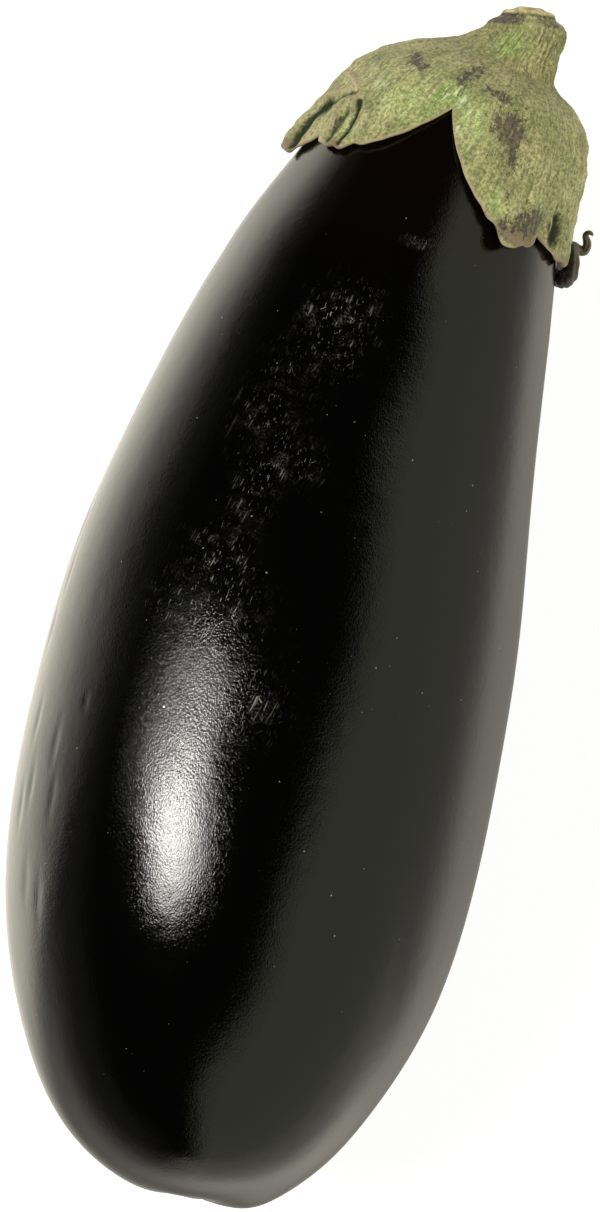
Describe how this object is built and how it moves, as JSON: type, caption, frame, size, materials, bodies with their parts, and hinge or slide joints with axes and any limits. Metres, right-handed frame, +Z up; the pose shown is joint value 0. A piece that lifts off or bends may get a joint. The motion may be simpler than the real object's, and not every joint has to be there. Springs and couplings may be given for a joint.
{
  "type": "eggplant",
  "caption": "Whole eggplant lying on its side: a glossy, almost black, pear-shaped fruit with a green leafy cap and a short cut stem.",
  "frame": {"origin": "middle of the small flat spot on the underside that the fruit rests on", "axes": "+Y along the fruit from the blossom end to the stem, +Z up from the surface that it lies on, +X to the side that the stem leans to"},
  "size_m": [0.0882, 0.2302, 0.0855],
  "materials": {
    "aubergine_skin": "glossy, waxy, with fine pits and light scuffs",
    "calyx_green": "dull, leathery, with brown bruises and fine scratches",
    "dried_brown": "dry and wrinkled, with a slight sheen"
  },
  "bodies": {
    "root": {"fruit": "aubergine_skin", "calyx_and_stem": "calyx_green", "withered_lobe_tip": "dried_brown"}
  },
  "joints": []
}
